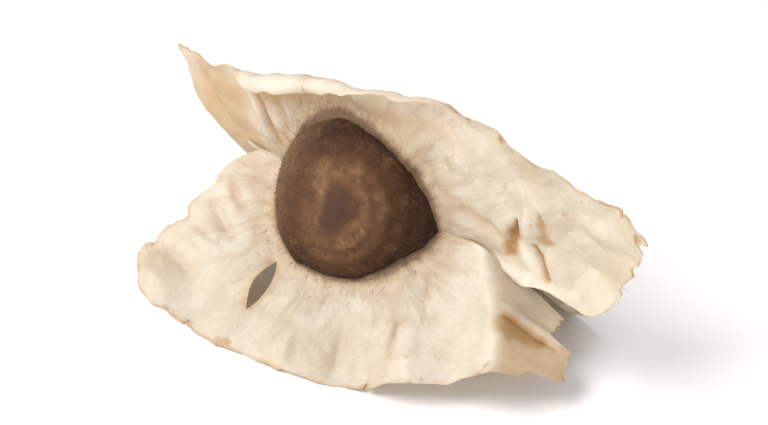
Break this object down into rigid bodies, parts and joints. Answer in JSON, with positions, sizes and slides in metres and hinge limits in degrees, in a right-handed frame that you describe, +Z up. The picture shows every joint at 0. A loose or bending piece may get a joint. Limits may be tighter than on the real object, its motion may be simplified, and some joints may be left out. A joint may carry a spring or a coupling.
{
  "type": "moringa seed",
  "caption": "Dry winged seed: a round brown three-cornered hull carried between cream papery wings that run past both of its poles.",
  "frame": {"origin": "bottom centre of the seed's bounding box, on the surface that its two lower wings rest on", "axes": "+X along the seed's own axis, from the hull's blunt pole towards its pointed pole and the long tail; +Z up; -Y towards the front, where the hull shows between the upper and the front wing"},
  "size_m": [0.0334, 0.0204, 0.0145],
  "materials": {
    "hull": "matte",
    "wing": "satin"
  },
  "bodies": {
    "root": {"seed_hull": "hull", "wings": "wing"}
  },
  "joints": []
}
